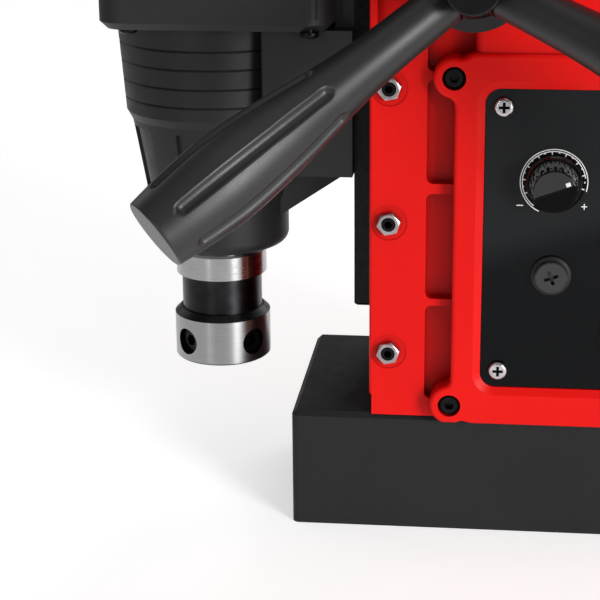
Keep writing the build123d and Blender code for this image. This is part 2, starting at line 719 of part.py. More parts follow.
with BuildPart() as fuse_cap:
    add(turned(
        fuse_plane,
        (0, 35), (4.4, 35), (4.4, PLATE_FACE + 2.1), (5.65, PLATE_FACE + 2.1),
        (5.65, PLATE_FACE + 3.4), (5.2, PLATE_FACE + 3.8), (0, PLATE_FACE + 3.8),
    ))
    with BuildSketch(Plane.YZ.offset(PLATE_FACE + 3.8)):
        with Locations(Location((KNOB_Y, FUSE_Z), 20), Location((KNOB_Y, FUSE_Z), 110)):
            SlotOverall(5.2, 1.2)
    extrude(amount=-2, mode=Mode.SUBTRACT)
finish(fuse_cap, "fuse_cap")

with BuildPart() as magnet_switch:
    with BuildSketch(Plane.YZ.offset(22)):
        with Locations((SWITCH_Y, SWITCH_Z)):
            Rectangle(18.8, 12.2)
    extrude(amount=PLATE_FACE - 22)
    with BuildSketch(Plane.YZ.offset(PLATE_FACE)):
        with Locations((SWITCH_Y, SWITCH_Z)):
            RectangleRounded(21, 14, 1.5)
    extrude(amount=2)
    chamfer(magnet_switch.faces().sort_by(Axis.X)[-1].edges(), 0.6)
    add(
        box((34, SWITCH_Y - 8.6, SWITCH_Z - 5.2), (50, SWITCH_Y + 8.6, SWITCH_Z + 5.2)),
        mode=Mode.SUBTRACT,
    )
finish(magnet_switch, "magnet_switch")

with BuildPart() as magnet_rocker:
    rocker_plane = Plane(
        origin=(ROCKER_X, SWITCH_Y, SWITCH_Z - 4.9), x_dir=(0, 1, 0), z_dir=(0, 0, 1)
    ).rotated((0, 0, ROCKER_TILT))
    with BuildSketch(rocker_plane):
        with BuildLine():
            Polyline((-7.2, 0), (-3, 6), (3, 6), (7.2, 0), (7.4, -7))
            ThreePointArc((7.4, -7), (0, -5.4), (-7.4, -7))
            Line((-7.4, -7), (-7.2, 0))
        make_face()
    extrude(amount=9.8)
finish(magnet_rocker, "magnet_rocker")

with BuildPart() as button_housings:
    for y, z in button_places:
        add(turned(
            crosswise(y, z),
            (0, 18), (8.4, 18), (8.4, PLATE_FACE), (11, PLATE_FACE), (11, PLATE_FACE + 1),
            (10, PLATE_FACE + 2.2), (8.2, PLATE_FACE + 2.2), (8.2, 42), (4.3, 42),
            (4.3, 20), (0, 20),
        ))
finish(button_housings, "button_housings")

for name, z, face in (("start_button", START_Z, START_FACE), ("stop_button", STOP_Z, STOP_FACE)):
    with BuildPart() as button:
        add(turned(
            crosswise(SWITCH_Y, z),
            (0, 26), (4, 26), (4, 45), (7.8, 45), (7.8, face - 0.8), (7, face), (0, face),
        ))
    finish(button, name)

with BuildPart() as circuit_board:
    add(box((-30, 2, 60), (-28.4, 54, 158)))
    with Locations(*[facing_x(-33, y, z) for y in (6, 50) for z in (65, 153)]):
        Cylinder(3, 6)
finish(circuit_board, "circuit_board")

with BuildPart() as board_parts:
    add(box((-28.4, 6, 128), (-8, 26, 134)))
    add(box((-28.4, 6, 108), (-8, 26, 114)))
    add(box((-28.4, 32, 120), (-14, 50, 146)))
    add(box((-28.4, 8, 64), (-20, 28, 74)))
    with Locations(*[facing_x(-28.4, y, 92) for y in (14, 32)]):
        Cylinder(7, 22, align=(Align.CENTER, Align.CENTER, Align.MIN))
    with Locations(facing_x(-28.4, 42, 72)):
        Cylinder(6, 15, align=(Align.CENTER, Align.CENTER, Align.MIN))
finish(board_parts, "board_parts")

cable_gland = gland(GLAND_LENGTH)
with BuildPart() as mains_gland:
    with Locations(mains_gland_place):
        add(cable_gland)
finish(mains_gland, "mains_gland")

with BuildPart() as column_lead_gland:
    with Locations(lead_gland_place):
        add(cable_gland)
finish(column_lead_gland, "column_lead_gland")

# ---------------------------------------------------------------- carrying handle
with BuildPart() as carry_handle:
    with BuildLine():
        FilletPolyline(
            (0, HANDLE_FRONT, COLUMN_TOP),
            (0, HANDLE_FRONT, HANDLE_TOP - HANDLE_RADIUS),
            (0, HANDLE_REAR, HANDLE_TOP - HANDLE_RADIUS),
            (0, HANDLE_REAR, COLUMN_TOP),
            radius=HANDLE_BEND,
        )
    with BuildSketch(Plane.XY.offset(COLUMN_TOP)):
        with Locations((0, HANDLE_FRONT)):
            Circle(HANDLE_RADIUS)
    sweep()
    for y in (HANDLE_FRONT, HANDLE_REAR):
        with BuildSketch(Plane.XY.offset(COLUMN_TOP)):
            with Locations((0, y)):
                SlotOverall(46, 18)
        extrude(amount=5)
        with BuildSketch(Plane.XY.offset(COLUMN_TOP)):
            with Locations((-HANDLE_BOLT_X, y), (HANDLE_BOLT_X, y)):
                Circle(2.7)
        extrude(amount=6, mode=Mode.SUBTRACT)
finish(carry_handle, "carry_handle")

handle_screw = cap_screw(4.5, 5, 2.6, 5, 4)
handle_screw_places = [
    (x, y, COLUMN_TOP + 5) for x in (-HANDLE_BOLT_X, HANDLE_BOLT_X) for y in (HANDLE_FRONT, HANDLE_REAR)
]
with BuildPart() as handle_screws:
    with Locations(*handle_screw_places):
        add(handle_screw)
finish(handle_screws, "handle_screws")

# ---------------------------------------------------------------- dovetail slide and rack
slide_bolt_places = [(x, z) for x in (-12, 12) for z in (137, 171, 248)]
with BuildPart() as dovetail_slide:
    with BuildSketch(Plane.XY.offset(SLIDE_BOTTOM)):
        neck_y = COLUMN_FRONT - GUIDE_GAP
        wide = DOVETAIL_NECK + DOVETAIL_DEPTH * flank_slope
        with BuildLine():
            Polyline(
                (-SLIDE_HALF, SLIDE_FRONT), (SLIDE_HALF, SLIDE_FRONT), (SLIDE_HALF, neck_y),
                (DOVETAIL_NECK, neck_y), (wide, SLIDE_BACK), (-wide, SLIDE_BACK),
                (-DOVETAIL_NECK, neck_y), (-SLIDE_HALF, neck_y),
                close=True,
            )
        make_face()
    extrude(amount=SLIDE_TOP - SLIDE_BOTTOM)
    chamfer(dovetail_slide.faces().sort_by(Axis.Z)[0].edges(), 1)
    with BuildSketch(Plane.XZ.offset(-SLIDE_FRONT)):
        with Locations(*slide_bolt_places):
            Circle(3.1)
    extrude(amount=-21, mode=Mode.SUBTRACT)
    with BuildSketch(Plane.XZ.offset(-SLIDE_BACK)):
        with Locations(*slide_bolt_places):
            Circle(5.2)
    extrude(amount=6.2, mode=Mode.SUBTRACT)
finish(dovetail_slide, "dovetail_slide")

slide_bolt = cap_screw(5, 6, 3, 20, 5)
with BuildPart() as slide_bolts:
    bolt_seats = [
        Plane(origin=(x, SLIDE_BACK - 6.1, z), z_dir=(0, 1, 0)).location for x, z in slide_bolt_places
    ]
    with Locations(*bolt_seats):
        add(slide_bolt)
finish(slide_bolts, "slide_bolts")

rack_pitch_y = HUB_Y - PINION_RADIUS
rack_tooth_pitch = pi * RACK_MODULE
rack_bottom = HUB_Z - 25.5 * rack_tooth_pitch
rack_top = HUB_Z + 12.5 * rack_tooth_pitch
with BuildPart() as feed_rack:
    root_y = rack_pitch_y - RACK_MODULE * 1.2
    tip_y = rack_pitch_y + RACK_MODULE * 0.8
    add(box((-RACK_HALF, SLIDE_BACK, rack_bottom), (RACK_HALF, root_y, rack_top)))
    half_pitch = 0.58 * RACK_MODULE
    half_root = half_pitch + 1.2 * RACK_MODULE * tan(radians(20))
    half_tip = half_pitch - 0.8 * RACK_MODULE * tan(radians(20))
    with BuildSketch(Plane.YZ.offset(-RACK_HALF)):
        for i in range(-25, 13):
            with BuildLine():
                middle = HUB_Z + (i - 0.5) * rack_tooth_pitch
                Polyline(
                    (root_y - 1, middle - half_root), (root_y, middle - half_root),
                    (tip_y, middle - half_tip), (tip_y, middle + half_tip),
                    (root_y, middle + half_root), (root_y - 1, middle + half_root),
                    close=True,
                )
            make_face()
    extrude(amount=2 * RACK_HALF)
finish(feed_rack, "feed_rack")

# ---------------------------------------------------------------- gearbox
collar_foot_z = COLLAR_BOTTOM + 3
collar_outline = [(COLLAR_BORE, GEARBOX_TOP), (COLLAR_RADIUS, GEARBOX_TOP)]
for height in GROOVE_HEIGHTS:
    below_top = (GEARBOX_TOP - height) / (GEARBOX_TOP - collar_foot_z)
    wall = COLLAR_RADIUS - (COLLAR_RADIUS - COLLAR_FOOT) * below_top
    collar_outline += [(wall, height + 0.4), (wall - 0.5, height + 0.2), (wall - 0.1, height - 0.5)]
collar_outline += [
    (COLLAR_FOOT, collar_foot_z), (COLLAR_BORE + 0.6, COLLAR_BOTTOM), (COLLAR_BORE, COLLAR_BOTTOM),
]
collar_back = box(
    (-COLLAR_RADIUS - 1, COLLAR_REAR, COLLAR_BOTTOM - 1),
    (COLLAR_RADIUS + 1, ARBOR_Y + COLLAR_RADIUS + 1, GEARBOX_TOP + 1),
)

# the grooved collar is round in front and ends square against the gearbox
with BuildPart() as gear_cover:
    add(turned(arbor_plane, *collar_outline))
    add(collar_back, mode=Mode.SUBTRACT)
finish(gear_cover, "gear_cover")

with BuildPart() as gearbox_housing:
    add(box((-GEARBOX_HALF, COLLAR_REAR, BRACKET_BOTTOM), (GEARBOX_HALF, SLIDE_FRONT, GEARBOX_TOP)))
    fillet(gearbox_housing.edges().filter_by(Axis.Z).group_by(Axis.Y)[0], 1.2)
    add(box((-28, MOTOR_REAR, GEARBOX_TOP), (28, SLIDE_FRONT, BACKPLATE_TOP)))
    add(ring(arbor_plane, 0, 31.4, BRACKET_BOTTOM - 1, COLLAR_BOTTOM), mode=Mode.SUBTRACT)
    add(ring(arbor_plane, 0, COLLAR_BORE, COLLAR_BOTTOM, GEARBOX_TOP), mode=Mode.SUBTRACT)
    add(box((-20, COLLAR_REAR, 141), (20, -71, 176)), mode=Mode.SUBTRACT)
    add(ring(layshaft_plane, 0, 8, 170, GEARBOX_TOP), mode=Mode.SUBTRACT)
    with BuildSketch(Plane.XZ.offset(-SLIDE_FRONT)):
        with Locations(*slide_bolt_places):
            Circle(3.05)
    extrude(amount=8.5, mode=Mode.SUBTRACT)
finish(gearbox_housing, "gearbox_housing")

with BuildPart() as cone_window:
    with BuildSketch(upright(0, 0)):
        with BuildLine():
            Polyline((25.4, 117), (35, 117), (35, 141), (29.4, 141), close=True)
        make_face()
    revolve(axis=Axis.Z, revolution_arc=WINDOW_ARC)

with BuildPart() as spindle_housing:
    with BuildSketch(arbor_plane):
        with BuildLine():
            Line((BEARING_RADIUS, QUILL_BOTTOM), (QUILL_RADIUS - 4, QUILL_BOTTOM))
            ThreePointArc(
                (QUILL_RADIUS - 4, QUILL_BOTTOM),
                (QUILL_RADIUS - 1.17, QUILL_BOTTOM + 1.17),
                (QUILL_RADIUS, QUILL_BOTTOM + 4),
            )
            Polyline(
                (QUILL_RADIUS, QUILL_BOTTOM + 4), (QUILL_RADIUS, 113), (26.6, 115.5),
                (31.3, COLLAR_BOTTOM), (30.9, COLLAR_BOTTOM), (30.9, 147),
                (BEARING_RADIUS, 147), (BEARING_RADIUS, 133), (17, 133), (17, 108),
                (BEARING_RADIUS, 108), (BEARING_RADIUS, QUILL_BOTTOM),
            )
        make_face()
    revolve(axis=arbor_axis)
    # shallow windows leave ribs on the cone
    with Locations((0, ARBOR_Y)):
        with PolarLocations(0, WINDOW_COUNT, start_angle=-WINDOW_ARC / 2):
            add(cone_window.part, mode=Mode.SUBTRACT)
    # seat for the layshaft's lower bearing
    add(box((-14, COLLAR_REAR - 4, 141), (14, -76, 147)))
    add(ring(layshaft_plane, 0, 6.5, 143.5, 148), mode=Mode.SUBTRACT)
    add(ring(arbor_plane, 0, BEARING_RADIUS, 140, 148), mode=Mode.SUBTRACT)
    # web down to the slide
    with BuildSketch(Plane.YZ.offset(-9)):
        with BuildLine():
            Polyline(
                (-90.5, 107), (SLIDE_FRONT, 126.7), (SLIDE_FRONT, BRACKET_BOTTOM),
                (-90.5, BRACKET_BOTTOM),
                close=True,
            )
        make_face()
    extrude(amount=18)
finish(spindle_housing, "spindle_housing")

# ---------------------------------------------------------------- motor
motor_centre = (0, (MOTOR_FRONT + MOTOR_REAR) / 2)
motor_size = (2 * MOTOR_HALF, MOTOR_REAR - MOTOR_FRONT)
cavity_size = (motor_size[0] - 2 * MOTOR_WALL, motor_size[1] - 2 * MOTOR_WALL, 7)
motor_gland_place = Plane(origin=(-20, MOTOR_REAR, 312), z_dir=(0, 1, 0)).location
motor_screw_places = [(-33, -138.6), (33, -138.6), (-38.4, -75.1), (38.4, -75.1)]

with BuildPart() as motor_housing:
    with BuildSketch(Plane.XY.offset(GEARBOX_TOP)):
        with Locations(motor_centre):
            RectangleRounded(*motor_size, MOTOR_CORNER)
    extrude(amount=MOTOR_TOP - GEARBOX_TOP)
    chamfer(motor_housing.faces().sort_by(Axis.Z)[0].edges(), 2.5)
    with BuildSketch(Plane.XY.offset(GEARBOX_TOP + MOTOR_FLOOR)):
        with Locations(motor_centre):
            RectangleRounded(*cavity_size)
    extrude(amount=MOTOR_TOP - GEARBOX_TOP, mode=Mode.SUBTRACT)
    with BuildSketch(Plane.XY.offset(GEARBOX_TOP + MOTOR_FLOOR)):
        with Locations(*motor_screw_places):
            Circle(3.6)
    extrude(amount=MOTOR_SCREW_DEPTH)
    with BuildSketch(Plane.XY.offset(GEARBOX_TOP)):
        with Locations(*motor_screw_places):
            Circle(1.7)
    extrude(amount=MOTOR_SCREW_DEPTH, mode=Mode.SUBTRACT)
    add(ring(rotor_plane, 0, 14, GEARBOX_TOP, 190))
    add(ring(rotor_plane, 0, 11, 183, 191), mode=Mode.SUBTRACT)
    add(ring(rotor_plane, 0, 6.5, GEARBOX_TOP - 1, 184), mode=Mode.SUBTRACT)
    add(ring(layshaft_plane, 0, 6.5, GEARBOX_TOP - 1, 183.2), mode=Mode.SUBTRACT)
    # exhaust slots beside the fan and brush holder ports above the field
    for i in range(-4, 5):
        add(box((-43, ROTOR_Y + 6 * i - 1.5, 197), (43, ROTOR_Y + 6 * i + 1.5, 212)), mode=Mode.SUBTRACT)
    with BuildSketch(Plane.YZ.offset(-50)):
        with Locations((ROTOR_Y, BRUSH_Z)):
            Circle(7.5)
    extrude(amount=100, mode=Mode.SUBTRACT)
finish(motor_housing, "motor_housing")

with BuildPart() as motor_top_cap:
    with BuildSketch(Plane.XY.offset(MOTOR_TOP)):
        with Locations(motor_centre):
            RectangleRounded(*motor_size, MOTOR_CORNER)
    extrude(amount=CAP_TOP - MOTOR_TOP)
    fillet(motor_top_cap.faces().sort_by(Axis.Z)[-1].edges(), 9)
    with BuildSketch(Plane.XY.offset(MOTOR_TOP)):
        with Locations(motor_centre):
            RectangleRounded(*cavity_size)
    extrude(amount=CAP_TOP - MOTOR_TOP - 8, mode=Mode.SUBTRACT)
    # bridge with the rotor's upper bearing seat
    add(box((-39, ROTOR_Y - 13, MOTOR_TOP), (39, ROTOR_Y + 13, MOTOR_TOP + 10)))
    add(ring(rotor_plane, 0, 11, MOTOR_TOP - 1, MOTOR_TOP + 7), mode=Mode.SUBTRACT)
    # intake slots in the sides
    for i in range(5):
        low = 306 + 4 * i
        add(box((-43, ROTOR_Y - 24, low), (43, ROTOR_Y + 24, low + 2)), mode=Mode.SUBTRACT)
    with Locations(motor_gland_place):
        Cylinder(6, 20, mode=Mode.SUBTRACT)
finish(motor_top_cap, "motor_top_cap")

with BuildPart() as motor_lead_gland:
    with Locations(motor_gland_place):
        add(gland(MOTOR_GLAND_LENGTH))
finish(motor_lead_gland, "motor_lead_gland")

motor_screw = cross_screw(3.3, 2, 1.65, MOTOR_SCREW_DEPTH - 0.5)
with BuildPart() as motor_screws:
    for x, y in motor_screw_places:
        with Locations(Plane(origin=(x, y, GEARBOX_TOP), z_dir=(0, 0, -1)).location):
            add(motor_screw)
finish(motor_screws, "motor_screws")

brush_plane = crosswise(ROTOR_Y, BRUSH_Z)
with BuildPart() as brush_holders:
    add(turned(brush_plane, (0, 16), (5, 16), (5, 38.6), (7.4, 38.6), (7.4, 42.2), (7, 42.6), (0, 42.6)))
    mirror(about=Plane.YZ)
finish(brush_holders, "brush_holders")

with BuildPart() as stator:
    add(ring(rotor_plane, 22, 36.4, 214, 256))
    with BuildSketch(Plane.XY.offset(206)):
        with Locations((-29, ROTOR_Y), (29, ROTOR_Y)):
            RectangleRounded(9, 34, 3)
    extrude(amount=58)
finish(stator, "stator")

with BuildPart() as rotor_bearings:
    add(ring(rotor_plane, 4, 11, 183, 190))
    add(ring(rotor_plane, 4, 11, MOTOR_TOP, MOTOR_TOP + 7))
finish(rotor_bearings, "rotor_bearings")

with BuildPart() as rotor_shaft:
    with BuildSketch(Plane.XY.offset(166.5)):
        with Locations(Location((0, ROTOR_Y), 90)):
            add(gear_outline(ROTOR_PINION, 1))
    extrude(amount=12)
    add(ring(rotor_plane, 0, 3.95, 178, 298.5))
finish(rotor_shaft, "rotor_shaft")

with BuildPart() as rotor_core:
    add(ring(rotor_plane, 3.95, 21.3, 216, 254))
    add(ring(rotor_plane, 3.95, 17, 209, 216))
    add(ring(rotor_plane, 3.95, 17, 254, 260))
    add(ring(rotor_plane, 3.95, 12, 263, 279))
    add(ring(rotor_plane, 3.95, 8, 260, 263))
finish(rotor_core, "rotor_core")

with BuildPart() as cooling_fan:
    add(ring(rotor_plane, 3.95, 8, 193, 206))
    add(ring(rotor_plane, 8, 29, 193, 195))
    with Locations((0, ROTOR_Y, 199)):
        with PolarLocations(18.5, 9):
            Box(20, 1.6, 9)
finish(cooling_fan, "cooling_fan")

# ---------------------------------------------------------------- gear train and spindle
with BuildPart() as layshaft:
    add(ring(layshaft_plane, 0, 2.95, 144, 183))
    with BuildSketch(Plane.XY.offset(150.5)):
        with Locations(Location((0, LAYSHAFT_Y), -90)):
            add(gear_outline(LAYSHAFT_PINION, 1))
    extrude(amount=17)
    with BuildSketch(Plane.XY.offset(167.5)):
        with Locations(Location((0, LAYSHAFT_Y), -90)):
            add(gear_outline(LAYSHAFT_WHEEL, 1, gap_first=True))
    extrude(amount=8)
finish(layshaft, "layshaft")

with BuildPart() as gearbox_bearings:
    for low, high in ((95.6, 98.6), (99, 108), (133, 142)):
        add(ring(arbor_plane, SPINDLE_RADIUS + RUNNING_GAP, BEARING_RADIUS, low, high))
    for low, high in ((143.5, 147), (GEARBOX_TOP, 183.2)):
        add(ring(layshaft_plane, 3, 6.5, low, high))
finish(gearbox_bearings, "gearbox_bearings")

with BuildPart() as spindle:
    add(turned(
        arbor_plane,
        (17, NOSE_BOTTOM), (17, 92), (16.2, 92.8), (SPINDLE_RADIUS, 92.8), (SPINDLE_RADIUS, 150.5),
        (9, 150.5), (9, 164), (3.5, 164), (3.5, 122), (7, 122), (9, NOSE_BOTTOM),
    ))
finish(spindle, "spindle")

with BuildPart() as spindle_gear:
    with BuildSketch(Plane.XY.offset(150.5)):
        with Locations(Location((0, ARBOR_Y), 90)):
            add(gear_outline(SPINDLE_WHEEL, 1, gap_first=True))
        with Locations((0, ARBOR_Y)):
            Circle(9, mode=Mode.SUBTRACT)
    extrude(amount=11)
finish(spindle_gear, "spindle_gear")

set_screw_planes = [
    Plane(origin=(0, ARBOR_Y, SET_SCREW_Z), z_dir=(cos(radians(a)), sin(radians(a)), 0))
    for a in SET_SCREW_ANGLES
]
with BuildPart() as arbor:
    add(turned(
        arbor_plane,
        (SHANK_RADIUS, ARBOR_BOTTOM + 0.8), (SHANK_RADIUS + 0.8, ARBOR_BOTTOM),
        (ARBOR_RADIUS - 0.6, ARBOR_BOTTOM), (ARBOR_RADIUS, ARBOR_BOTTOM + 0.6),
        (ARBOR_RADIUS, 67.5), (ARBOR_RADIUS - 2.2, 69.6), (15, 69.6), (15, NOSE_BOTTOM),
        (9, NOSE_BOTTOM), (7, 121.5), (3.5, 121.5), (3.5, ARBOR_BOTTOM + SHANK_DEPTH),
        (SHANK_RADIUS, ARBOR_BOTTOM + SHANK_DEPTH),
    ))
    for plane in set_screw_planes:
        with BuildSketch(plane):
            Circle(5)
        extrude(amount=25, mode=Mode.SUBTRACT)
finish(arbor, "arbor")

arbor_screw = set_screw(4.95, 5.6, 4)
with BuildPart() as arbor_set_screws:
    for plane in set_screw_planes:
        with Locations(plane.offset(15.8).location):
            add(arbor_screw)
finish(arbor_set_screws, "arbor_set_screws")

with BuildPart() as ejector_pin:
    add(ring(arbor_plane, 0, 3.4, 84, 158))
finish(ejector_pin, "ejector_pin")
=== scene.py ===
import json
import math

import bmesh
import bpy
from mathutils import Matrix, Vector


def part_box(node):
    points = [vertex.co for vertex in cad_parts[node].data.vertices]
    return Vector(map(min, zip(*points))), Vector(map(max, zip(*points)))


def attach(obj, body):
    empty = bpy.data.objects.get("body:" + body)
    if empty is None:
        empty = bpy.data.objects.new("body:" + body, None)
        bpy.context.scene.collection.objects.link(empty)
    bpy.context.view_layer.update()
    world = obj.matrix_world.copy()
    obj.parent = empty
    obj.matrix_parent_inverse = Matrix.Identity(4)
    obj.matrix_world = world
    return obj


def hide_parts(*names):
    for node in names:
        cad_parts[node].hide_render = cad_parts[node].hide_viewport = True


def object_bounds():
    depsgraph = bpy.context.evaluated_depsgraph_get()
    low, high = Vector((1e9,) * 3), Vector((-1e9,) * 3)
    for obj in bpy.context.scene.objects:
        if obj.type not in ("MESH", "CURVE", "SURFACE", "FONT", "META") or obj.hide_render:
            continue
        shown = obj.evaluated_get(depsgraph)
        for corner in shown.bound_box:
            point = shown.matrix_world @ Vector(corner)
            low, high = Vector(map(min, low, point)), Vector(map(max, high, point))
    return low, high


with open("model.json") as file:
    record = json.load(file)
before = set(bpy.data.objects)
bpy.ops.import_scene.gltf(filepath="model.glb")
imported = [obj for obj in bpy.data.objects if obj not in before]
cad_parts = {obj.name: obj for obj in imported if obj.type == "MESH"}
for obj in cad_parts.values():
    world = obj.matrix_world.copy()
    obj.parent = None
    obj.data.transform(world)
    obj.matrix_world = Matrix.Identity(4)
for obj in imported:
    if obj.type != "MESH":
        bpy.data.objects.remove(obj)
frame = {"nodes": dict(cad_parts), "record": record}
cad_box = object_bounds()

# The camera and the studio are in metres. Everything on the object is in millimetres and degrees.
MM = 0.001


def middle(name):
    """The middle of a CAD node's box at rest, in millimetres."""
    low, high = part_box(name)
    return (low + high) / 2 / MM


CAMERA_PLACE = Vector((0.5702, -0.0099, 0.2626))
CAMERA_DIRECTION = Vector((-0.9583, -0.0867, -0.2724))
CAMERA_LENS = 95.66
CAMERA_SHIFT = (-0.10, -0.12)

SKY_FILL = 0.2
LIGHTS_AIM = Vector((0, -0.03, 0.15))
# each light's place, its width and height, and its watts
LIGHTS = {
    "key": ((1.3, 1.1, 0.4), (0.5, 0.9), 29),
    "strip": ((1.5, -0.75, 0.35), (0.14, 1.3), 3.5),
    "ceiling": ((0.5, 0, 1.8), (1.4, 1.4), 3.5),
    "rear": ((-1.4, 0.6, 1.1), (1.2, 1.2), 11),
    "left": ((-0.9, -1.6, 1.0), (1.0, 1.0), 3),
}
FLOOR_RADIUS = 1.5
FLOOR_SIDES = 96
FLOOR_FADE = (0.45, 1.3)
FLOOR_GLOW = 0.5
FLOOR_GAP = 0.05 * MM

# Feed handle: the grips' outline is (distance along the spoke, radius)
SPOKE_ORIGIN = Vector((73.6, -19.3, 202.5))
SPOKE_TILT = 27.6
GRIP_TURNS = {"feed_grip_1": 217, "feed_grip_2": 337, "feed_grip_3": 97}
GRIP_OUTLINE = [(12.5, 7.3), (40, 7.9), (60, 9.6), (80, 12.2), (100, 13.7), (114, 13.0), (127.4, 11.4)]
GRIP_STATIONS = 150
GRIP_SIDES = 180
GRIP_EDGE = 0.7
GRIP_EDGE_STEPS = 4
FLUTE_COUNT = 6
FLUTE_RANGE = (61, 120)
FLUTE_HALF_WIDTH = 2.2
FLUTE_DEPTH = 1.5
FLUTE_PHASE = 40

# Control panel, in the Y-Z plane; what is printed on it stands a little proud
PANEL_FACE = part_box("panel_plate")[1].x / MM
PRINT_HEIGHT = 0.06
GROUND_HEIGHT = 0.03
RING_SIDES = 128
# the panel's upper part is lightened by a painted sheen of reflected light, along this slope and over this
# span
PAINTED_SHEEN_SLOPE = -0.3
PAINTED_SHEEN_SPAN = (101, 117)
# behind these depths the panel screws' recesses and the fuse cap are painted near black as shade
PANEL_SCREW_RECESS = PANEL_FACE + 0.95
FUSE_CAP_RECESS = PANEL_FACE + 3.35

# Speed dial, round the knob's centre; lines are (start, end, width) and marks (near, far, width)
KNOB_CENTRE = middle("speed_knob").yz
DIAL_GROUND = (5.4, 10.75)
DIAL_ARCS = ((11.3, 245, -16), (10.6, 232, 8))
DIAL_ARC_WIDTH = 0.3
DIAL_ARC_STEPS = 96
DIAL_FIRST = -13
DIAL_PITCH = 27
DIAL_MARKS = 9
LONG_MARK = (9.6, 10.5, 0.4)
SHORT_MARK = (10.1, 10.5, 0.5)
MINUS_AND_PLUS = (
    ((-12.3, -8.3), (-10.1, -8.3), 0.35),
    ((9.4, -8.3), (11.4, -8.3), 0.3),
    ((10.4, -9.3), (10.4, -8.45), 0.3),
    ((10.4, -8.15), (10.4, -7.3), 0.3),
)

# Switching marks beside the two push buttons: a bar at the start button, a ring at the stop button
BUTTON_MARK_Y = 49.5
BAR_Z, BAR_REACH, BAR_WIDTH = middle("start_button").z, 1.6, 0.5
RING_Z, RING_RADII = middle("stop_button").z, (1.2, 1.7)

# Speed knob: rows up its side as (radius, place along X, whether the row carries the ribs)
KNOB_TILT = 20
KNOB_STEPS = 120
KNOB_RIBS = 18
RIB_DEPTH = 0.22
KNOB_TOP = 61.0
KNOB_FOOT = (
    (3.05, 58.0, 0), (3.05, 51.4, 0), (5.6, 51.4, 0), (5.6, 47.1, 0), (9.2, 47.1, 0), (9.35, 47.25, 0),
    (9.4, 47.5, 0), (9.4, 48.2, 0), (9.3, 48.45, 0), (9.1, 48.6, 0), (8.25, 50.0, 0), (8.1, 50.4, 0),
    (8.05, 50.8, 0), (8.0, 51.4, 1), (7.85, 53.5, 1), (7.7, 55.5, 1), (7.5, 57.4, 1),
)
KNOB_LOW = ((7.45, 57.8, 0), (7.35, 58.1, 0), (7.1, 58.2, 0))
KNOB_HIGH = (
    (7.45, 58.2, 1), (7.35, 59.6, 1), (7.3, 60.3, 0), (7.25, 60.65, 0), (7.15, 60.88, 0), (6.9, KNOB_TOP, 0),
)
POINTER_START, POINTER_END, POINTER_RISE, POINTER_WIDTH = 4.2, 5.7, 1.2, 1.35
# a thin near-black line along the step's top edge is a painted shadow line
STEP_SHADOW_REACH, STEP_SHADOW_RISE, STEP_SHADOW_WIDTH = 6.8, 0.25, 0.4

# Arbor: the band round it that is ground bright
ARBOR_Y = middle("arbor").y
BAND_RADIUS = 17.8
BAND_SPAN = (51.2, 67.4)


# ---------------------------------------------------------------- materials


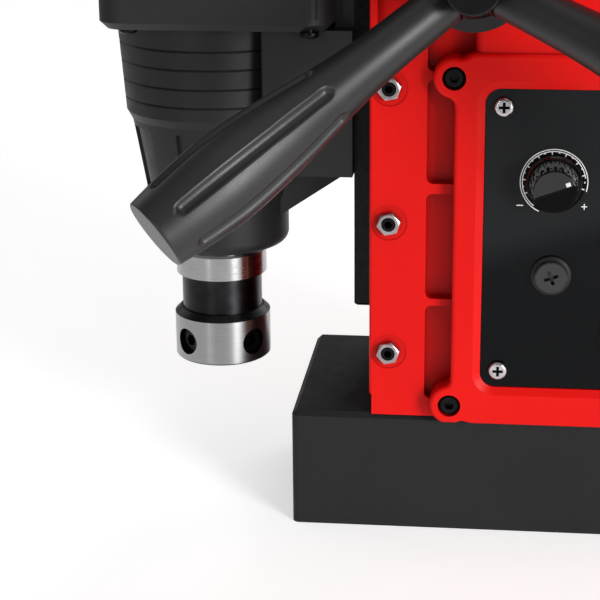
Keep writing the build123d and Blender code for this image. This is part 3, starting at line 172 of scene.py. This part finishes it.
class Surface:
    """A Principled material whose procedural nodes are added and wired one at a time."""

    def __init__(self, name, **sockets):
        self.material = bpy.data.materials.new(name)
        self.material.use_nodes = True
        self.tree = self.material.node_tree
        self.shader = self.tree.nodes["Principled BSDF"]
        for socket, value in sockets.items():
            self.shader.inputs[socket.replace("_", " ")].default_value = value
        self.place = self.add("TexCoord").outputs["Object"]

    def add(self, kind, **settings):
        made = self.tree.nodes.new("ShaderNode" + kind)
        for key, value in settings.items():
            setattr(made, key, value)
        return made

    def wire(self, source, target):
        self.tree.links.new(source, target)

    def along(self, axis):
        """The place on the piece along "X", "Y" or "Z"."""
        made = self.add("SeparateXYZ")
        self.wire(self.place, made.inputs["Vector"])
        return made.outputs[axis]

    def stretched(self, *factors):
        """The place on the piece, with each axis multiplied by its factor."""
        mapping = self.add("Mapping")
        mapping.inputs["Scale"].default_value = factors
        self.wire(self.place, mapping.inputs["Vector"])
        return mapping.outputs["Vector"]

    def noise(self, size, detail=2.0, roughness=0.5, place=None):
        """Noise with features about size metres across."""
        made = self.add("TexNoise")
        made.inputs["Scale"].default_value = 1 / size
        made.inputs["Detail"].default_value = detail
        made.inputs["Roughness"].default_value = roughness
        self.wire(place or self.place, made.inputs["Vector"])
        return made.outputs["Fac"]

    def openness(self, reach):
        """1 where nothing stands within reach of the surface, and less in pockets and corners."""
        made = self.add("AmbientOcclusion", samples=8)
        made.inputs["Distance"].default_value = reach
        return made.outputs["AO"]

    def ramp(self, value, low, high, start=0.3, end=0.7):
        """A colour or grey level that goes from low to high as value goes from start to end."""
        made = self.add("ValToRGB")
        for element, position, level in zip(made.color_ramp.elements, (start, end), (low, high)):
            element.position = position
            element.color = (*level, 1) if isinstance(level, tuple) else (level, level, level, 1)
        self.wire(value, made.inputs["Fac"])
        return made.outputs["Color"]

    def maths(self, operation, first, second=None):
        made = self.add("Math", operation=operation)
        for index, value in enumerate((first, second)):
            if isinstance(value, (int, float)):
                made.inputs[index].default_value = value
            elif value is not None:
                self.wire(value, made.inputs[index])
        return made.outputs["Value"]

    def rise(self, value, low, high):
        """How far value has gone from low to high, held between 0 and 1 and eased at both ends."""
        made = self.add("MapRange", interpolation_type="SMOOTHSTEP")
        made.inputs["From Min"].default_value = low
        made.inputs["From Max"].default_value = high
        self.wire(value, made.inputs["Value"])
        return made.outputs["Result"]

    def blend(self, share, first, second):
        """first where share is 0 and second where it is 1; each is a colour or a socket."""
        made = self.add("Mix", data_type="RGBA")
        self.wire(share, made.inputs[0])
        for index, value in ((6, first), (7, second)):
            if isinstance(value, tuple):
                made.inputs[index].default_value = (*value, 1)
            else:
                self.wire(value, made.inputs[index])
        return made.outputs[2]

    def brushed_round(self, axis):
        """Stretches highlights along the axis, as tool marks that run round it do."""
        self.shader.inputs["Anisotropic"].default_value = 0.75
        self.shader.inputs["Anisotropic Rotation"].default_value = 0.25
        tangent = self.add("Tangent", direction_type="RADIAL", axis=axis)
        self.wire(tangent.outputs["Tangent"], self.shader.inputs["Tangent"])

    def colour(self, source):
        self.wire(source, self.shader.inputs["Base Color"])

    def roughness(self, source):
        self.wire(source, self.shader.inputs["Roughness"])

    def bump(self, *layers):
        """Stacks (height, depth in metres, strength) layers into the surface normal."""
        normal = None
        for height, depth, strength in layers:
            made = self.add("Bump")
            made.inputs["Distance"].default_value = depth
            made.inputs["Strength"].default_value = strength
            self.wire(height, made.inputs["Height"])
            if normal is not None:
                self.wire(normal, made.inputs["Normal"])
            normal = made.outputs["Normal"]
        self.wire(normal, self.shader.inputs["Normal"])


def darker(tone, factor):
    return tuple(level * factor for level in tone)


def painted(name, light, dark, gloss, grain=0.9 * MM, depth=0.05 * MM, corner=None, **sockets):
    """Sprayed paint: a soft drift of tone, an orange-peel surface and, when corner is given, painted shade:
    a darker tone in pockets and corners, where shade falls.
    """
    s = Surface(name, **sockets)
    tone = s.ramp(s.noise(60 * MM, 3), dark, light)
    # painted shade: the corner colour darkens the paint where ambient occlusion finds pockets and corners
    if corner:
        tone = s.blend(s.rise(s.openness(9 * MM), 0.35, 1.0), corner, tone)
    s.colour(tone)
    s.roughness(s.ramp(s.noise(7 * MM, 4, 0.6), gloss - 0.06, gloss + 0.06))
    s.bump((s.noise(grain, 2), depth, 0.35), (s.noise(9 * MM, 2), 0.25 * MM, 0.12))
    return s.material


def moulded(name, light, dark, gloss, grain, depth, strength=0.6, specular=0.3):
    """Spark-textured moulding: fine pits over the whole surface and slightly polished high spots."""
    s = Surface(name, Specular_IOR_Level=specular)
    pits = s.noise(grain, 3, 0.65)
    s.colour(s.ramp(s.noise(35 * MM, 4, 0.6), dark, light, 0.25, 0.75))
    s.roughness(s.ramp(pits, gloss + 0.1, gloss - 0.08))
    s.bump((pits, depth, strength))
    return s.material


def turned(name, tone, gloss, strength, axis):
    """Turned metal: fine tool lines around an axis, and faint smears of tone."""
    s = Surface(name, Metallic=1.0)
    s.brushed_round(axis)
    grooves = s.noise(0.22 * MM, 2, 0.7, s.stretched(*(1 if a == axis else 0.02 for a in "XYZ")))
    s.colour(s.ramp(s.noise(11 * MM, 3), darker(tone, 0.86), tone))
    s.roughness(s.ramp(grooves, gloss - 0.05, gloss + 0.07))
    s.bump((grooves, 0.02 * MM, strength))
    return s.material


def plated(name, tone, gloss):
    """Plated or blackened small hardware: cloudy tone, tiny handling marks."""
    s = Surface(name, Metallic=1.0)
    clouds = s.noise(2.5 * MM, 4, 0.6)
    s.colour(s.ramp(clouds, darker(tone, 0.72), tone))
    s.roughness(s.ramp(s.noise(0.8 * MM, 3), gloss - 0.06, gloss + 0.1))
    s.bump((clouds, 0.03 * MM, 0.25))
    return s.material


def head_with_shaded_recess(name, tone, recess_x, metallic, gloss):
    """A screw head whose driver recess is painted near black as shade: the recess is whatever lies behind
    recess_x.
    """
    s = Surface(name, Metallic=metallic)
    head = s.ramp(s.noise(2.5 * MM, 4, 0.6), darker(tone, 0.75), tone)
    front = s.rise(s.along("X"), (recess_x - 0.1) * MM, recess_x * MM)
    # painted shade: near black behind recess_x
    s.colour(s.blend(front, (0.006, 0.006, 0.006), head))
    s.roughness(s.ramp(s.noise(0.8 * MM, 3), gloss - 0.05, gloss + 0.08))
    return s.material


def glossy_panel():
    """The black panel: nearly mirror gloss, with a painted sheen of reflected light that lightens its upper
    part.
    """
    s = Surface("panel_gloss", Specular_IOR_Level=0.1)
    height = s.maths("ADD", s.along("Z"), s.maths("MULTIPLY", s.along("Y"), PAINTED_SHEEN_SLOPE))
    # painted reflection: a lighter tone over the upper part, near black below
    painted_sheen = s.blend(s.noise(14 * MM, 3), (0.009, 0.0105, 0.0115), (0.014, 0.0145, 0.015))
    low, high = PAINTED_SHEEN_SPAN
    s.colour(s.blend(s.rise(height, low * MM, high * MM), (0.002, 0.0025, 0.003), painted_sheen))
    s.roughness(s.ramp(s.noise(6 * MM, 4, 0.6), 0.08, 0.16))
    return s.material


def arbor_steel():
    """Blackened arbor whose lower band is ground bright: the band is where the surface is at its
    full radius and below the shoulder."""
    s = Surface("arbor_steel", Metallic=1.0)
    s.brushed_round("Z")
    x, z = s.along("X"), s.along("Z")
    y = s.maths("SUBTRACT", s.along("Y"), ARBOR_Y * MM)
    radius = s.maths("SQRT", s.maths("ADD", s.maths("MULTIPLY", x, x), s.maths("MULTIPLY", y, y)))
    low, high = BAND_SPAN
    between = s.maths("MULTIPLY", s.maths("GREATER_THAN", z, low * MM), s.maths("LESS_THAN", z, high * MM))
    band = s.maths("MULTIPLY", s.maths("GREATER_THAN", radius, BAND_RADIUS * MM), between)
    grooves = s.noise(0.2 * MM, 2, 0.7, s.stretched(0.02, 0.02, 1))
    oxide = s.ramp(s.noise(6 * MM, 3), (0.016, 0.016, 0.017), (0.03, 0.03, 0.032))
    ground = s.ramp(grooves, (0.28, 0.28, 0.285), (0.34, 0.34, 0.345))
    s.colour(s.blend(band, oxide, ground))
    dull = s.maths("ADD", s.maths("MULTIPLY", s.noise(3 * MM, 3), 0.2), 0.28)
    bright = s.maths("ADD", s.maths("MULTIPLY", grooves, 0.12), 0.26)
    s.roughness(s.blend(band, dull, bright))
    s.bump((grooves, 0.01 * MM, 0.15))
    return s.material


def printed():
    """White screen print: slightly uneven ink."""
    s = Surface("white_print", Roughness=0.45)
    s.colour(s.ramp(s.noise(0.7 * MM, 3), 0.74, 0.9, end=0.6))
    s.bump((s.noise(0.3 * MM, 2), 0.01 * MM, 0.3))
    return s.material


def wound_copper():
    """A winding: fine turns of lacquered wire, one above the other."""
    s = Surface("wound_copper", Metallic=1.0)
    wave = s.add("TexWave", bands_direction="Z")
    wave.inputs["Scale"].default_value = 300
    wave.inputs["Distortion"].default_value = 0.6
    s.wire(s.place, wave.inputs["Vector"])
    turns = wave.outputs["Fac"]
    s.colour(s.ramp(turns, (0.22, 0.07, 0.03), (0.72, 0.3, 0.13), 0.1, 0.7))
    s.roughness(s.ramp(turns, 0.5, 0.3, 0.0, 1.0))
    s.bump((turns, 0.3 * MM, 0.8))
    return s.material


def stacked_laminations():
    """A core of thin steel plates, stacked along Z."""
    s = Surface("stacked_laminations", Metallic=1.0)
    wave = s.add("TexWave", bands_direction="Z", wave_profile="SAW")
    wave.inputs["Scale"].default_value = 320
    s.wire(s.place, wave.inputs["Vector"])
    plates = wave.outputs["Fac"]
    s.colour(s.ramp(plates, (0.1, 0.1, 0.11), (0.34, 0.34, 0.36), 0.0, 0.3))
    s.roughness(s.ramp(s.noise(4 * MM, 3), 0.4, 0.6))
    s.bump((plates, 0.1 * MM, 0.5))
    return s.material


SLOT_MATERIALS = {
    "base_paint": painted(
        "base_paint", (0.013, 0.0133, 0.0136), (0.0095, 0.0098, 0.01), 0.58, 0.7 * MM, 0.12 * MM,
        Specular_IOR_Level=0.2,
    ),
    # the corner colour is painted shade in the casting's pockets and corners
    "red_casting": painted(
        "red_casting", (0.66, 0.005, 0.003), (0.60, 0.003, 0.002), 0.4, corner=(0.36, 0.001, 0.0006),
        Specular_IOR_Level=0.13,
    ),
    "black_casting": painted(
        "black_casting", (0.012, 0.012, 0.0125), (0.008, 0.008, 0.0085), 0.46, 0.8 * MM, 0.1 * MM,
        Specular_IOR_Level=0.25,
    ),
    "gloss_black": painted(
        "gloss_black", (0.009, 0.009, 0.0095), (0.007, 0.007, 0.0075), 0.15, 2 * MM, 0.02 * MM,
    ),
    "green_button": painted(
        "green_button", (0.02, 0.4, 0.08), (0.015, 0.34, 0.06), 0.22, 1.5 * MM, 0.02 * MM,
    ),
    "red_button": painted(
        "red_button", (0.7, 0.016, 0.012), (0.6, 0.012, 0.01), 0.22, 1.5 * MM, 0.02 * MM,
    ),
    "black_plastic": moulded(
        "black_plastic", (0.013, 0.013, 0.0135), (0.009, 0.009, 0.0095), 0.48, 0.55 * MM, 0.09 * MM,
    ),
    "grip_rubber": moulded(
        "grip_rubber", (0.011, 0.011, 0.0115), (0.008, 0.008, 0.0085), 0.4, 0.4 * MM, 0.05 * MM, 0.5, 0.5,
    ),
    "resin": moulded("resin", (0.03, 0.024, 0.02), (0.02, 0.016, 0.014), 0.35, 3 * MM, 0.1 * MM, 0.3),
    "board_green": moulded(
        "board_green", (0.02, 0.2, 0.06), (0.012, 0.13, 0.04), 0.35, 1.5 * MM, 0.02 * MM, 0.3,
    ),
    "component": moulded("component", (0.09, 0.09, 0.11), (0.05, 0.05, 0.06), 0.45, 1 * MM, 0.03 * MM, 0.3),
    "black_oxide": plated("black_oxide", (0.016, 0.016, 0.017), 0.32),
    "zinc_steel": plated("zinc_steel", (0.43, 0.38, 0.39), 0.3),
    "bright_steel": turned("bright_steel", (0.36, 0.36, 0.365), 0.22, 0.12, "Z"),
    "bronze": turned("bronze", (0.62, 0.4, 0.16), 0.32, 0.25, "X"),
    "copper": wound_copper(),
    "laminated_steel": stacked_laminations(),
}
PRINT = printed()
# near black with almost no sheen: the disc round the dial, and painted shade on the knob's step and its edge
# line
DARK_DIAL_AND_PAINTED_SHADE = painted(
    "dark_dial_and_painted_shade", (0.003, 0.003, 0.003), (0.002, 0.002, 0.002), 0.4, 2 * MM, 0.01 * MM,
    Specular_IOR_Level=0.06,
)
HUB_GLOSS = painted(
    "hub_gloss", (0.006, 0.006, 0.006), (0.0045, 0.0045, 0.005), 0.2, 3 * MM, 0.02 * MM,
    Specular_IOR_Level=0.2,
)
KNOB_GLOSS = painted("knob_gloss", (0.005, 0.005, 0.005), (0.004, 0.004, 0.004), 0.1, 3 * MM, 0.01 * MM)
NODE_MATERIALS = {
    "arbor": arbor_steel(),
    "panel_plate": glossy_panel(),
    "feed_hub": HUB_GLOSS,
    "hub_cap": HUB_GLOSS,
    "panel_screws": head_with_shaded_recess("panel_screw_steel", (0.6, 0.58, 0.59), PANEL_SCREW_RECESS, 1.0, 0.24),
    "fuse_cap": head_with_shaded_recess("fuse_cap_plastic", (0.016, 0.017, 0.018), FUSE_CAP_RECESS, 0.0, 0.3),
}


def dress_cad_nodes():
    """Gives each carried-over CAD node its own material, or else its slot's."""
    for part in frame["record"]["subparts"]:
        name = part["node"]
        materials = frame["nodes"][name].data.materials
        materials.clear()
        materials.append(NODE_MATERIALS.get(name, SLOT_MATERIALS[part["material_slot"]]))


# ------------------------------------------------------------------- meshes


def piece(name, bm, materials, body, smooth=True):
    """Turns a bmesh in millimetres into a piece that rides on a CAD body. Only its four-sided faces are
    shaded smooth, so that the caps stay flat."""
    bmesh.ops.recalc_face_normals(bm, faces=bm.faces)
    bm.transform(Matrix.Scale(MM, 4))
    mesh = bpy.data.meshes.new(name)
    for material in materials:
        mesh.materials.append(material)
    bm.to_mesh(mesh)
    bm.free()
    for polygon in mesh.polygons:
        polygon.use_smooth = smooth and len(polygon.vertices) == 4
    made = bpy.data.objects.new(name, mesh)
    bpy.context.scene.collection.objects.link(made)
    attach(made, body)
    return made


def stitch(bm, low, high):
    """The wall between two closed loops of as many vertices."""
    for k, corner in enumerate(low):
        after = (k + 1) % len(low)
        bm.faces.new((corner, low[after], high[after], high[k]))


def smooth_curve(points, position):
    """The value at position on a Catmull-Rom curve through (position, value) points."""
    last = len(points) - 1
    index = max(i for i in range(last) if points[i][0] <= position or i == 0)
    before, start = points[max(index - 1, 0)], points[index]
    end, after = points[index + 1], points[min(index + 2, last)]
    span = end[0] - start[0]
    t = (position - start[0]) / span
    leave = (end[1] - before[1]) / (end[0] - before[0]) * span
    arrive = (after[1] - start[1]) / (after[0] - start[0]) * span
    return (
        (2 * t**3 - 3 * t**2 + 1) * start[1] + (t**3 - 2 * t**2 + t) * leave
        + (3 * t**2 - 2 * t**3) * end[1] + (t**3 - t**2) * arrive
    )


def flute_depth(along, angle, radius):
    """How deep the nearest flute cuts at this place on a grip."""
    pitch = 2 * math.pi / FLUTE_COUNT
    turn = (angle - math.radians(FLUTE_PHASE)) % pitch
    across = min(turn, pitch - turn) * radius / FLUTE_HALF_WIDTH
    low, high = FLUTE_RANGE
    beyond = max(low + FLUTE_HALF_WIDTH - along, along - high + FLUTE_HALF_WIDTH, 0) / FLUTE_HALF_WIDTH
    return FLUTE_DEPTH * max(0.0, 1 - across**2 - beyond**2) ** 0.75


def feed_grip(name, turn):
    """A moulded grip: a body of revolution about its spoke, with scooped flutes and a rounded rim."""
    tilt, turn = math.radians(SPOKE_TILT), math.radians(turn)
    axis = Vector((math.sin(tilt), math.cos(tilt) * math.cos(turn), math.cos(tilt) * math.sin(turn)))
    side = axis.cross(Vector((1, 0, 0))).normalized()
    up = axis.cross(side)

    start, end = GRIP_OUTLINE[0][0], GRIP_OUTLINE[-1][0] - GRIP_EDGE
    rim = smooth_curve(GRIP_OUTLINE, end)
    rows = []
    for i in range(GRIP_STATIONS + 1):
        along = start + (end - start) * i / GRIP_STATIONS
        rows.append((along, smooth_curve(GRIP_OUTLINE, along)))
    for i in range(1, GRIP_EDGE_STEPS + 1):
        bend = math.pi / 2 * i / GRIP_EDGE_STEPS
        rows.append((end + GRIP_EDGE * math.sin(bend), rim - GRIP_EDGE * (1 - math.cos(bend))))

    bm = bmesh.new()
    loops = []
    for along, radius in rows:
        loop = []
        for k in range(GRIP_SIDES):
            a = 2 * math.pi * k / GRIP_SIDES
            out = side * math.cos(a) + up * math.sin(a)
            reach = radius - flute_depth(along, a, radius)
            loop.append(bm.verts.new(SPOKE_ORIGIN + axis * along + out * reach))
        loops.append(loop)
    for low, high in zip(loops, loops[1:]):
        stitch(bm, low, high)
    bm.faces.new(loops[0])
    bm.faces.new(loops[-1])
    made = piece(name + "_moulding", bm, [SLOT_MATERIALS["grip_rubber"]], "capstan")
    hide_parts(name)


def heading(degrees):
    """The unit vector in the Y-Z plane at this angle from +Y towards +Z."""
    return Vector((math.cos(math.radians(degrees)), math.sin(math.radians(degrees))))


def flat_strip(bm, points, width, face, height):
    """A raised strip of the given width along points in the Y-Z plane, standing on X = face."""
    loops = []
    for i, point in enumerate(points):
        ahead = points[min(i + 1, len(points) - 1)] - points[max(i - 1, 0)]
        across = Vector((-ahead.y, ahead.x)).normalized() * width / 2
        near, far = point - across, point + across
        loops.append([
            bm.verts.new((x, edge.x, edge.y))
            for x, edge in ((face, near), (face + height, near), (face + height, far), (face, far))
        ])
    for low, high in zip(loops, loops[1:]):
        stitch(bm, low, high)
    bm.faces.new(loops[0])
    bm.faces.new(loops[-1])


def flat_ring(bm, centre, radii, face, height):
    """A raised flat ring in the Y-Z plane, standing on X = face."""
    inner, outer = radii
    loops = []
    for k in range(RING_SIDES):
        out = heading(360 * k / RING_SIDES)
        loops.append([
            bm.verts.new((x, *(centre + out * radius)))
            for radius, x in ((inner, face), (outer, face), (outer, face + height), (inner, face + height))
        ])
    for low, high in zip(loops, loops[1:] + loops[:1]):
        stitch(bm, low, high)


def dial_print():
    """The scale round the speed knob, with a minus and a plus, on a near-black disc with almost no sheen;
    and the switching marks beside the two push buttons."""
    bm = bmesh.new()
    flat_ring(bm, KNOB_CENTRE, DIAL_GROUND, PANEL_FACE, GROUND_HEIGHT)
    piece("dial_ground", bm, [DARK_DIAL_AND_PAINTED_SHADE], "frame", smooth=False)

    bm = bmesh.new()
    strips = []
    for radius, start, end in DIAL_ARCS:
        turns = [start + (end - start) * i / DIAL_ARC_STEPS for i in range(DIAL_ARC_STEPS + 1)]
        strips.append(([heading(turn) * radius for turn in turns], DIAL_ARC_WIDTH))
    for k in range(2 * DIAL_MARKS - 1):
        out = heading(DIAL_FIRST + DIAL_PITCH / 2 * k)
        near, far, width = SHORT_MARK if k % 2 else LONG_MARK
        strips.append(([out * near, out * far], width))
    for start, end, width in MINUS_AND_PLUS:
        strips.append(([Vector(start), Vector(end)], width))
    for points, width in strips:
        flat_strip(bm, [KNOB_CENTRE + point for point in points], width, PANEL_FACE, PRINT_HEIGHT)
    bar = [Vector((BUTTON_MARK_Y, BAR_Z + rise)) for rise in (-BAR_REACH, BAR_REACH)]
    flat_strip(bm, bar, BAR_WIDTH, PANEL_FACE, PRINT_HEIGHT)
    flat_ring(bm, Vector((BUTTON_MARK_Y, RING_Z)), RING_RADII, PANEL_FACE, PRINT_HEIGHT)
    piece("dial_print", bm, [PRINT], "frame", smooth=False)


def speed_knob():
    """The speed knob: a round skirt, a ribbed body, and half of its top cut down to a step that is painted
    near black as shade.
    """
    bm = bmesh.new()
    count = 2 * KNOB_STEPS

    def place(k, radius, x, ribbed):
        turn = KNOB_TILT + 180 * k / KNOB_STEPS
        if ribbed:
            radius -= RIB_DEPTH * (0.5 + 0.5 * math.cos(math.radians(KNOB_RIBS * turn))) ** 2
        return bm.verts.new((x, *(KNOB_CENTRE + heading(turn) * radius)))

    rings = [[place(k, *row) for k in range(count)] for row in KNOB_FOOT]
    bm.faces.new(rings[0])
    for low, high in zip(rings, rings[1:]):
        stitch(bm, low, high)

    def half(first, rows):
        """Half of the knob above its foot, as columns of vertices, and its faces."""
        columns = [
            [rings[-1][(first + k) % count]] + [place(first + k, *row) for row in rows]
            for k in range(KNOB_STEPS + 1)
        ]
        faces = [
            bm.faces.new((left[level], right[level], right[level + 1], left[level + 1]))
            for left, right in zip(columns, columns[1:])
            for level in range(len(rows))
        ]
        faces.append(bm.faces.new([column[-1] for column in columns]))
        return columns, faces

    high = half(0, KNOB_HIGH)[0]
    low, step = half(KNOB_STEPS, KNOB_LOW)
    step.append(bm.faces.new(high[0][::-1] + low[-1][1:] + low[0][:0:-1] + high[-1]))
    # painted shade: the step takes the near-black, nearly sheenless material
    for face in step:
        face.material_index = 1
    made = piece("speed_knob_moulding", bm, [KNOB_GLOSS, DARK_DIAL_AND_PAINTED_SHADE], "knob")
    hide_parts("speed_knob")

    along, up = heading(KNOB_TILT), heading(KNOB_TILT + 90)
    bm = bmesh.new()
    start = KNOB_CENTRE + up * POINTER_RISE
    pointer = [start + along * POINTER_START, start + along * POINTER_END]
    flat_strip(bm, pointer, POINTER_WIDTH, KNOB_TOP, PRINT_HEIGHT)
    piece("knob_pointer", bm, [PRINT], "knob", smooth=False)

    # painted shadow: a thin near-black line along the edge of the step
    bm = bmesh.new()
    start = KNOB_CENTRE + up * STEP_SHADOW_RISE
    step_shadow_line = [start - along * STEP_SHADOW_REACH, start + along * STEP_SHADOW_REACH]
    flat_strip(bm, step_shadow_line, STEP_SHADOW_WIDTH, KNOB_TOP, GROUND_HEIGHT)
    piece("knob_step_shadow_line", bm, [DARK_DIAL_AND_PAINTED_SHADE], "knob", smooth=False)


# -------------------------------------------------------------------- studio


def aimed(name, data, place, direction):
    """Adds a light or a camera that looks in a direction."""
    made = bpy.data.objects.new(name, data)
    made.location = place
    made.rotation_mode = "QUATERNION"
    made.rotation_quaternion = direction.to_track_quat("-Z", "Y")
    bpy.context.scene.collection.objects.link(made)
    return made


def camera():
    lens = bpy.data.cameras.new("camera")
    lens.sensor_width = 36
    lens.lens = CAMERA_LENS
    lens.shift_x, lens.shift_y = CAMERA_SHIFT
    lens.clip_start, lens.clip_end = 0.01, 50
    bpy.context.scene.camera = aimed("camera", lens, CAMERA_PLACE, CAMERA_DIRECTION)


def lights():
    for name, (place, size, watts) in LIGHTS.items():
        lamp = bpy.data.lights.new(name, "AREA")
        lamp.shape = "RECTANGLE"
        lamp.size, lamp.size_y = size
        lamp.energy = watts
        aimed(name, lamp, place, LIGHTS_AIM - Vector(place))


def sky():
    """A soft fill from all round, behind a plain white background."""
    world = bpy.data.worlds.new("studio")
    world.use_nodes = True
    tree = world.node_tree
    fill = tree.nodes["Background"]
    seen = tree.nodes.new("ShaderNodeBackground")
    for background, strength in ((fill, SKY_FILL), (seen, 1.0)):
        background.inputs["Color"].default_value = (1, 1, 1, 1)
        background.inputs["Strength"].default_value = strength
    rays = tree.nodes.new("ShaderNodeLightPath")
    either = tree.nodes.new("ShaderNodeMixShader")
    tree.links.new(rays.outputs["Is Camera Ray"], either.inputs["Fac"])
    tree.links.new(fill.outputs["Background"], either.inputs[1])
    tree.links.new(seen.outputs["Background"], either.inputs[2])
    tree.links.new(either.outputs["Shader"], tree.nodes["World Output"].inputs["Surface"])
    bpy.context.scene.world = world
    bpy.context.scene.view_settings.view_transform = "Standard"


def floor():
    """A white disc that fades into the background towards its rim."""
    bm = bmesh.new()
    bmesh.ops.create_circle(bm, cap_ends=True, segments=FLOOR_SIDES, radius=FLOOR_RADIUS)
    mesh = bpy.data.meshes.new("floor")
    bm.to_mesh(mesh)
    bm.free()
    made = bpy.data.objects.new("floor", mesh)
    made.location.z = cad_box[0].z - FLOOR_GAP
    bpy.context.scene.collection.objects.link(made)

    paper = Surface("floor_paper", Roughness=0.85, Emission_Color=(1, 1, 1, 1), Emission_Strength=FLOOR_GLOW)
    paper.colour(paper.ramp(paper.noise(0.3, 3), 0.9, 0.93))
    distance = paper.add("VectorMath", operation="LENGTH")
    paper.wire(paper.place, distance.inputs[0])
    start, end = FLOOR_FADE
    faded = paper.maths("DIVIDE", paper.maths("SUBTRACT", distance.outputs["Value"], start), end - start)
    paper.wire(paper.ramp(faded, 1.0, 0.0, 0.0, 1.0), paper.shader.inputs["Alpha"])
    mesh.materials.append(paper.material)


camera()
sky()
lights()
floor()
dress_cad_nodes()
for grip_name, grip_turn in GRIP_TURNS.items():
    feed_grip(grip_name, grip_turn)
dial_print()
speed_knob()
